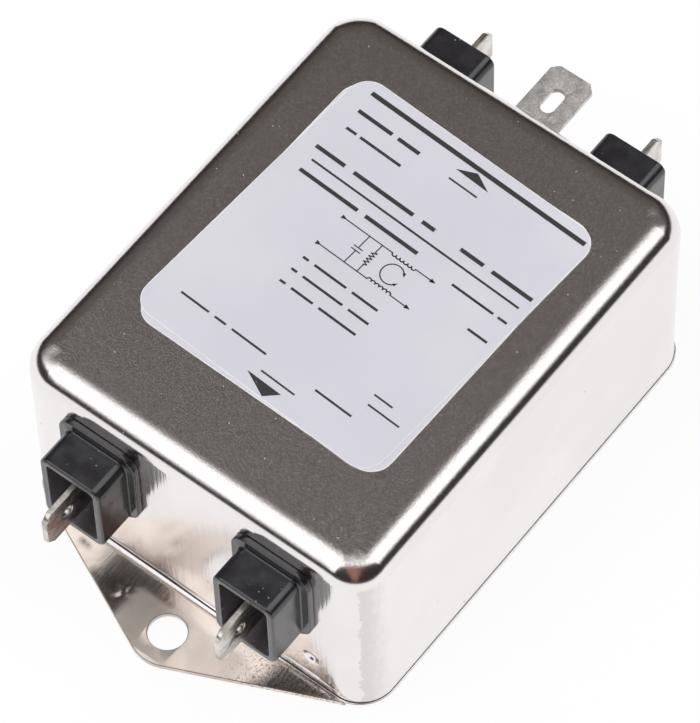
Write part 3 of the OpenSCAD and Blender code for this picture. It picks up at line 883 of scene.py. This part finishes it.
def at_terminals(kind, form, points, faces, finish, slot):
    """Puts the same shape at all four terminals."""
    for end, y in ENDS.items():
        for side, x in SIDES.items():
            node = f"{end}_{kind}_{side}"
            piece(f"{node}_{form}", at_end(points, y, x), faces, [finish], node)


def make_housings(finish):
    at_terminals("housing", "moulding", *housing_mesh(), finish, "housing_plastic")


def blade_outline():
    """Blade in its own plane, outwards along the first axis."""
    top = [(-TAIL_END, TAIL_W / 2), (-SPIGOT_L, TAIL_W / 2), (-SPIGOT_L, BLADE_W / 2)]
    top += [(BLADE_OUT - BLADE_CHAMFER, BLADE_W / 2), (BLADE_OUT, BLADE_W / 2 - BLADE_CHAMFER)]
    return [(x, -z) for x, z in top] + list(reversed(top))


def make_blades(finish):
    hole = list(reversed(circle(BLADE_OUT - DETENT_FROM_TIP, 0, DETENT_R, 32)))
    points, faces, _ = slab([blade_outline(), hole], BLADE_T, BLADE_EDGE)
    points = [(z - BLADE_T / 2, -x, y) for x, y, z in points]
    at_terminals("blade", "strip", points, faces, finish, "blade_tin")


def tab_outline(length):
    half = BLADE_W / 2
    return [(0, -half), (length - TAB_CHAMFER, -half), (length, -half + TAB_CHAMFER),
            (length, half - TAB_CHAMFER), (length - TAB_CHAMFER, half), (0, half)]


def slot_outline(centre):
    half = (SLOT_L - SLOT_W) / 2
    points = []
    for side, start in ((1, -90), (-1, 90)):
        points += arc(centre + side * half, 0, SLOT_W / 2, start, start + 180, 12)
    return points


def make_tab(finish):
    """Ground tab: a flat strip with its slot and rivet hole, then bent out from the wall."""
    bend_r = TAB_BEND + BLADE_T
    leg = tab_high.z - tab_low.z - bend_r
    curve = math.pi / 2 * (TAB_BEND + BLADE_T / 2)
    length = leg + curve + TAB_OUT - bend_r
    slot_at = leg + curve + SLOT_FROM_WALL - bend_r
    loops = [tab_outline(length), list(reversed(slot_outline(slot_at)))]
    loops.append(list(reversed(circle(RIVET_Z - tab_low.z, 0, RIVET_SHANK_R + 0.05, 32))))
    points, faces, _ = slab(loops, BLADE_T, TAB_EDGE)
    mesh = bpy.data.meshes.new("tab_strip")
    mesh.from_pydata(points, [], faces)
    shape = bmesh.new()
    shape.from_mesh(mesh)
    for i in range(BEND_STEPS + 1):
        cut = leg + curve * i / BEND_STEPS
        everything = shape.verts[:] + shape.edges[:] + shape.faces[:]
        bmesh.ops.bisect_plane(shape, geom=everything, plane_co=(cut, 0, 0), plane_no=(1, 0, 0))
    for v in shape.verts:
        s, x, h = v.co
        if s < leg:
            v.co = (x, END_Y + h, tab_low.z + s)
        elif s > leg + curve:
            v.co = (x, END_Y + bend_r + s - leg - curve, tab_high.z - h)
        else:
            a = math.pi / 2 * (s - leg) / curve
            r = bend_r - h
            v.co = (x, END_Y + bend_r - r * math.cos(a), tab_high.z - bend_r + r * math.sin(a))
    shape.verts.index_update()
    bent = [tuple(v.co) for v in shape.verts]
    bent_faces = [tuple(v.index for v in f.verts) for f in shape.faces]
    shape.free()
    piece("ground_tab_strip", bent, bent_faces, [finish], "ground_tab")


def make_rivet(finish):
    """A set head inside, a shank and a domed head outside."""
    head_r = (rivet_high.x - rivet_low.x) / 2
    foot, tip = rivet_low.y, rivet_high.y
    dome = RIVET_HEAD_T - RIVET_EDGE
    profile = [(foot, 0.3), (foot, head_r - RIVET_EDGE)]
    profile += [(foot + RIVET_EDGE, head_r), (foot + RIVET_HEAD_T, head_r)]
    profile += [(foot + RIVET_HEAD_T, RIVET_SHANK_R), (tip - RIVET_HEAD_T, RIVET_SHANK_R)]
    profile += [(tip - RIVET_HEAD_T, head_r), (tip - dome, head_r)]
    for i in range(1, 7):
        a = math.radians(15 * i)
        profile.append((tip - dome * (1 - math.sin(a)), max(head_r * math.cos(a), 0.2)))
    rings = [[(x, y, z + RIVET_Z) for x, z in circle(0, 0, r, 40)] for y, r in profile]
    points, faces = loft(rings)
    piece("ground_rivet_body", points, faces, [finish], "ground_rivet")


def on_label(points, low, high, skew):
    """Turns points by a label's skew and puts them on the middle of its node's box."""
    middle = (low + high) / 2
    place = Matrix.Translation((middle.x, middle.y, 0)) @ Matrix.Rotation(math.radians(-skew), 4, "Z")
    return [tuple(place @ Vector(p)) for p in points]


def make_label(node, skew, finishes):
    low, high = box_mm(node)
    outline = rounded_rect(LABEL_W, LABEL_L, LABEL_R)
    points, faces, kinds = slab([outline], high.z - low.z, LABEL_EDGE, LABEL_RIM)
    points = on_label([(x, y, z + low.z) for x, y, z in points], low, high, skew)
    # The edge faces take the second finish, the painted edge highlight
    piece(f"{node}_paper", points, faces, finishes, node, kinds)


class Print:
    """Flat printed shapes on the upper label, in the label's own millimetres from its middle."""

    def __init__(self):
        self.points = []
        self.faces = []

    def shape(self, outline):
        start = len(self.points)
        self.points += outline
        for triangle in geometry.tessellate_polygon([[Vector((x, y, 0)) for x, y in outline]]):
            self.faces.append(tuple(start + i for i in triangle))

    def bar(self, x0, x1, y, height):
        self.shape([(x0, y - height / 2), (x1, y - height / 2), (x1, y + height / 2), (x0, y + height / 2)])

    def words(self, x0, y, height, lengths, space):
        """A row of plain word bars, half as thick as the row is high."""
        for length in lengths:
            self.bar(x0, x0 + length, y, WORD_BAR * height)
            x0 += length + space

    def line(self, route, width):
        """A line of a width through the points of a route."""
        for a, b in zip(route, route[1:]):
            a, b = Vector(a), Vector(b)
            way = (b - a).normalized()
            side = Vector((-way.y, way.x)) * width / 2
            a, b = a - way * width / 2, b + way * width / 2
            self.shape([tuple(p) for p in (a - side, b - side, b + side, a + side)])

    def arrow(self, tip, size, turn=0):
        """A small solid arrowhead with its tip at a point, pointing at a turn from X in degrees."""
        way = Vector(polar(0, 0, 1, turn))
        base = Vector(tip) - way * size
        side = Vector((-way.y, way.x)) * size / 2.6
        self.shape([tuple(tip), tuple(base + side), tuple(base - side)])


def draw_circuit(ink):
    """Common-mode choke with a capacitor and a resistor across the line side, in plain symbols."""
    thin, head, small_head = 0.16, 0.8, 0.6
    left, right = -6.8, 7.0
    high, low = 3.9, -0.8
    middle = (high + low) / 2
    coil_start, coil_r, bumps = 0.8, 0.3, 6
    coil_end = coil_start + 2 * coil_r * bumps
    for y, way in ((high, 1), (low, -1)):
        ink.line([(left, y), (coil_start, y)], thin)
        for i in range(bumps):
            x = coil_start + coil_r * (2 * i + 1)
            ink.line(arc(x, y, coil_r, 180, 180 + way * 180, 10), thin)
        ink.line([(coil_end, y), (right, y)], thin)
        ink.arrow((left + head / 2, y), head)
        ink.arrow((right + 0.5, y), head)
    coupling = ((coil_start + coil_end) / 2 + 0.1, middle, 1.45)
    arc_end, tip_at, tip_turn = 38, 22, 60
    ink.line(arc(*coupling, arc_end, 360 - arc_end, 20), thin)
    for way in (-1, 1):
        ink.arrow(polar(*coupling, way * tip_at), small_head, -way * tip_turn)
    cap_x, cap_gap, cap_half = -2.8, 0.24, 0.62
    ink.line([(cap_x, high), (cap_x, middle + cap_gap)], thin)
    ink.line([(cap_x, low), (cap_x, middle - cap_gap)], thin)
    for y in (middle - cap_gap, middle + cap_gap):
        ink.line([(cap_x - cap_half, y), (cap_x + cap_half, y)], thin)
    res_x, teeth, tooth, swing = -0.8, 9, 0.24, 0.3
    start = middle + teeth * tooth / 2
    zigzag = [(res_x, high), (res_x, start)]
    zigzag += [(res_x + swing * (-1) ** i, start - tooth * (i + 0.5)) for i in range(teeth)]
    zigzag += [(res_x, start - teeth * tooth), (res_x, low)]
    ink.line(zigzag, thin)


# Left end, right end, middle and thickness of each rule
RULES = [(-16.0, 17.5, 19.55, 0.66), (-15.3, 17.2, 7.65, 0.3)]
ARROWS = [((-1.2, 17.8), (4.0, 17.7), (1.3, 19.0)), ((-1.7, -19.4), (2.0, -21.0), (3.6, -19.4))]
# Left end, middle and height of each row of words, the words' lengths and the space between them
WORD_ROWS = [
    (-15.6, 16.6, 1.1, (5.4, 3.4), 0.9),
    (-15.1, 13.8, 0.8, (1.6, 6.4), 0.6),
    (-16.2, 9.5, 1.15, (4.6, 9.4, 2.0), 1.4),
    (6.6, 9.5, 1.15, (3.6, 6.2), 1.3),
    (-15.5, 5.7, 1.1, (9.2, 8.2), 1.2),
    (-7.0, -3.4, 0.7, (0.9, 5.0, 4.0), 0.9),
    (-7.0, -5.5, 0.7, (0.9, 6.2, 3.2), 0.9),
    (-7.0, -7.6, 0.7, (0.9, 3.4, 5.8), 0.9),
    (-1.0, 16.3, 0.5, (4.4,), 1),
    (-0.4, -18.4, 0.5, (5.2,), 1),
    (9.0, 5.1, 0.7, (6.4, 1.4), 0.7),
    (14.4, 1.6, 0.7, (3.0,), 1),
    (-14.8, -16.4, 0.6, (4.4, 1.8, 5.4), 0.9),
    (11.9, -12.3, 0.5, (2.8,), 1),
    (12.2, -13.8, 0.5, (4.8,), 1),
    (6.2, -16.3, 0.6, (5.6,), 1),
]


def make_print(finish):
    ink = Print()
    for rule in RULES:
        ink.bar(*rule)
    draw_circuit(ink)
    for outline in ARROWS:
        ink.shape(outline)
    for row in WORD_ROWS:
        ink.words(*row)
    low, high = box_mm("label")
    points = [(x, y, high.z + INK_LIFT) for x, y in ink.points]
    points = on_label(points, low, high, LABEL_SKEW)
    piece("label_print", points, ink.faces, [finish], smooth=False)


WHOLE_TURN = 360 * LOOPS + LAST_TURN


def squared(c):
    """Pushes a sine or cosine out, so that the wire follows the core's squarish section."""
    return math.copysign(abs(c) ** 0.4, c)


def loop_point(turn):
    """Point of the right winding after a turn of the wire round the core's section, in degrees."""
    around = math.radians(WINDING_SPAN * (turn / WHOLE_TURN - 0.5))
    a = math.radians(turn)
    r = CORE_MID_R + (CORE_HALF_W + WIRE_GAP + WIRE_D / 2) * squared(math.cos(a))
    z = CHOKE_Z - (CORE_HALF_H + WIRE_GAP + WIRE_D / 2) * squared(math.sin(a))
    return Vector((r * math.cos(around), r * math.sin(around) - CHOKE_SHIFT, z))


def bezier(a, b, c, d, count):
    """Points between the ends of a curve from a to d that heads for b and comes from c."""
    points = []
    for i in range(1, count):
        t = i / count
        s = 1 - t
        points.append(s ** 3 * a + 3 * s * s * t * b + 3 * s * t * t * c + t ** 3 * d)
    return points


def winding_route():
    """Centre line of the right winding, from the load blade round the core to the line blade."""
    tail_y = END_Y - (SPIGOT_L + TAIL_END) / 2
    face_x = TERMINAL_X - BLADE_T / 2
    load_face = Vector((face_x, -tail_y, TERMINAL_Z))
    line_face = Vector((face_x, tail_y, TERMINAL_Z))
    inwards = Vector((-1, 0, 0))
    load_bend = load_face + WIRE_D * inwards
    line_bend = line_face + WIRE_D * inwards
    first, last = loop_point(0), loop_point(WHOLE_TURN)
    first_way = (first - load_bend).length
    last_way = (line_bend - last).length
    last_out = (last - loop_point(WHOLE_TURN - 15)).normalized()
    above = first + Vector((0, 0, 0.4 * first_way))
    route = [load_face, load_bend]
    route += bezier(load_bend, load_bend + 0.25 * first_way * inwards, above, first, 16)
    route += [loop_point(turn) for turn in range(0, WHOLE_TURN + 1, WIRE_STEP)]
    beyond = last + 0.4 * last_way * last_out
    route += bezier(last, beyond, line_bend + 0.25 * last_way * inwards, line_bend, 16)
    return route + [line_bend, line_face]


def tube(route, d, sides):
    """Rings round a route, turned along it without twist."""
    rings = []
    up = Vector((0, 0, 1))
    for i, point in enumerate(route):
        ahead = (route[min(i + 1, len(route) - 1)] - route[max(i - 1, 0)]).normalized()
        up = (up - ahead * up.dot(ahead)).normalized()
        across = ahead.cross(up)
        rings.append([tuple(point + up * u + across * v) for u, v in circle(0, 0, d / 2, sides)])
    return loft(rings)


def make_windings(finish):
    points, faces = tube(winding_route(), WIRE_D, WIRE_SIDES)
    for side, x in SIDES.items():
        mirrored = [(x * p[0], p[1], p[2]) for p in points]
        piece(f"winding_{side}_wire", mirrored, faces, [finish], f"winding_{side}")


def dress_nodes():
    """Gives the CAD nodes that keep their own shape their finishes."""
    lead = tinned_lead()
    finishes = {
        "closing_pan": nickel_pan(),
        "choke_core": core_coating(),
        "choke_divider": board("divider_board", (0.50, 0.44, 0.30), (0.66, 0.60, 0.44), 90),
        "capacitor": capacitor_case(),
        "capacitor_leads": lead,
        "resistor": resistor_body(),
        "resistor_leads": lead,
        "insulating_sheet": board("sheet_board", (0.05, 0.065, 0.09), (0.10, 0.12, 0.15), 0),
        "insulating_liner": board("liner_board", (0.13, 0.09, 0.06), (0.20, 0.15, 0.10), 90),
    }
    for node, finish in finishes.items():
        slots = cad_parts[node].data.materials
        slots.clear()
        slots.append(finish.material)


# Camera, as solved from the photograph
CAMERA_AZIMUTH = math.radians(39.626)
CAMERA_ELEVATION = math.radians(59.181)
CAMERA_ROLL = math.radians(-2.178)
CAMERA_PLACE = Vector((207.393, -252.218, 560.777)) * MM
FOCAL_PIXELS = 5248.2
LONG_SIDE_PIXELS = 723
SENSOR = 36.0


def make_camera():
    data = bpy.data.cameras.new("camera")
    data.sensor_width = SENSOR
    data.lens = FOCAL_PIXELS / LONG_SIDE_PIXELS * SENSOR
    data.clip_start = 0.01
    data.clip_end = 20
    camera = placed("camera", data)
    flat = math.cos(CAMERA_ELEVATION)
    x, y = math.sin(CAMERA_AZIMUTH) * flat, -math.cos(CAMERA_AZIMUTH) * flat
    back = Vector((x, y, math.sin(CAMERA_ELEVATION)))
    right = Vector((0, 0, 1)).cross(back).normalized()
    up = back.cross(right)
    c, s = math.cos(CAMERA_ROLL), math.sin(CAMERA_ROLL)
    turned = Matrix((c * right + s * up, c * up - s * right, back)).transposed()
    camera.matrix_world = Matrix.Translation(CAMERA_PLACE) @ turned.to_4x4()
    bpy.context.scene.camera = camera


# Light levels of the studio
BOX_LIGHT = 2.95
BOX_SHEEN = 1.35
STUDIO_DARK = (0.096, 0.085, 0.078)
STUDIO_DIM = (0.032, 0.029, 0.028)
CAMERA_GLOW = (0.36, 0.17, 0.13)
FLOOR_TONE = 0.95
FLOOR_GLOW = 0.93
FLOOR_HALF = 1500
FLOOR_UNDER = 0.03

# Where the soft boxes end, in parts of a direction of length one
BOX_FADE = 0.065
BOX_GAP = 0.035
BOX_FAR = (0.52, 0.34)
BOX_LOW = (0.3, 0.4)
# Each soft box's side, slant beside the gap, foot, the foot's slant, corner radius and outer edge
SOFT_BOXES = [
    (-1, 0.16, 0.25, 0.5, 0.17, (0.82, 0.72)),
    (1, 0.24, 0.29, 0.0, 0.2, (0.78, 0.64)),
]
# Places and half sizes of the dim spot and of the warm glow round the camera
DIM_SPOT = (0.0, 0.48, 0.7, 0.5)
GLOW_SPOT = (0.0, -0.6, 0.16, 0.48)


class Sky(Graph):
    """World light by direction: to the right of the camera's line of sight, away along it, and up."""

    def __init__(self):
        world = bpy.data.worlds.new("studio")
        bpy.context.scene.world = world
        world.use_nodes = True
        super().__init__(world.node_tree)
        self.nodes.clear()
        turned = self.nodes.new("ShaderNodeVectorRotate")
        turned.rotation_type = "Z_AXIS"
        turned.inputs["Angle"].default_value = -CAMERA_AZIMUTH
        way = self.nodes.new("ShaderNodeTexCoord").outputs["Generated"]
        self.links.new(way, turned.inputs["Vector"])
        self.right, self.away, self.up = self.split(turned.outputs["Vector"])

    def soft_corner(self, a, b, radius):
        """1 inside two edges whose corner is rounded; a and b are the distances inside each edge."""
        short = [self.maths("MAXIMUM", self.maths("SUBTRACT", radius, value), 0.0) for value in (a, b)]
        return self.remap(self.distance(*short), radius + BOX_FADE, radius - BOX_FADE)

    def soft_box(self, side, slant, foot, foot_slant, radius, edge):
        """1 in a soft box on one side, apart from its far and low ends."""
        aside = self.product(self.right, side)
        ahead = self.maths("MAXIMUM", self.away, 0.0)
        in_gap = self.total(aside, self.product(ahead, -slant), -BOX_GAP)
        in_foot = self.total(self.away, self.product(self.right, -foot_slant), foot)
        return self.product(self.soft_corner(in_gap, in_foot, radius), self.remap(aside, *edge))

    def spot(self, right, away, wide, deep):
        """1 at a place in the sky seen from above, fading out over an ellipse of these half sizes."""
        across = self.maths("DIVIDE", self.maths("SUBTRACT", self.right, right), wide)
        along = self.maths("DIVIDE", self.maths("SUBTRACT", self.away, away), deep)
        off = self.total(self.product(across, across), self.product(along, along))
        return self.product(self.remap(off, 1.0, 0.3), self.remap(self.up, 0.0, 0.2))


def grey(value):
    return (value, value, value)


def make_world():
    """Dark studio with two wide soft boxes and a white sweep; plain white to the camera."""
    sky = Sky()
    path = sky.nodes.new("ShaderNodeLightPath")
    either = sky.maths("MAXIMUM", *[sky.soft_box(*box) for box in SOFT_BOXES])
    boxes = sky.product(either, sky.remap(sky.away, *BOX_FAR), sky.remap(sky.up, *BOX_LOW))
    sheen = sky.blend(path.outputs["Is Glossy Ray"], grey(BOX_LIGHT), grey(BOX_SHEEN))
    dark = sky.blend(sky.spot(*DIM_SPOT), STUDIO_DIM, STUDIO_DARK)
    dark = sky.blend(sky.spot(*GLOW_SPOT), dark, CAMERA_GLOW)
    light = sky.blend(boxes, dark, sheen)
    lift = sky.maths("SUBTRACT", sky.up, sky.product(sky.remap(sky.right, 0.4, 0.8), 0.1))
    light = sky.blend(sky.remap(lift, 0.1, -0.02), light, grey(FLOOR_TONE))
    seen = sky.blend(path.outputs["Is Camera Ray"], light, grey(1.0))
    background = sky.nodes.new("ShaderNodeBackground")
    sky.links.new(seen, background.inputs["Color"])
    output = sky.nodes.new("ShaderNodeOutputWorld")
    sky.links.new(background.outputs["Background"], output.inputs["Surface"])


def make_floor():
    """Plain white floor that looks white to the camera and in reflections, and keeps the shadow."""
    mesh = bpy.data.meshes.new("floor")
    corners = ((-1, -1), (1, -1), (1, 1), (-1, 1))
    points = [Vector((x * FLOOR_HALF, y * FLOOR_HALF, -FLOOR_UNDER)) * MM for x, y in corners]
    mesh.from_pydata(points, [], [(0, 1, 2, 3)])
    floor = placed("floor", mesh)
    material = bpy.data.materials.new("floor")
    material.use_nodes = True
    paint = Graph(material.node_tree)
    paint.nodes.clear()
    plain = paint.nodes.new("ShaderNodeBsdfDiffuse")
    paint.fill([plain.inputs["Color"]], [grey(FLOOR_TONE)])
    glow = paint.nodes.new("ShaderNodeEmission")
    path = paint.nodes.new("ShaderNodeLightPath")
    seen = paint.maths("MAXIMUM", path.outputs["Is Camera Ray"], path.outputs["Is Glossy Ray"])
    share = paint.product(seen, FLOOR_GLOW)
    mixed = paint.nodes.new("ShaderNodeMixShader")
    paint.fill(mixed.inputs, (share, plain.outputs["BSDF"], glow.outputs["Emission"]))
    output = paint.nodes.new("ShaderNodeOutputMaterial")
    paint.links.new(mixed.outputs["Shader"], output.inputs["Surface"])
    mesh.materials.append(material)


def main():
    make_camera()
    bpy.context.scene.view_settings.view_transform = "Standard"
    make_world()
    make_floor()
    make_can(nickel_can(), seam_painted_shade())
    make_plate(nickel_plate())
    make_housings(black_plastic())
    make_blades(tin_blade())
    make_tab(tin_tab())
    make_rivet(nickel_rivet())
    paper_and_painted_edge = [label_stock(), label_painted_edge_highlight()]
    make_label("under_label", UNDER_SKEW, paper_and_painted_edge)
    make_label("label", LABEL_SKEW, paper_and_painted_edge)
    make_print(label_ink())
    make_windings(enamelled_copper())
    dress_nodes()


main()
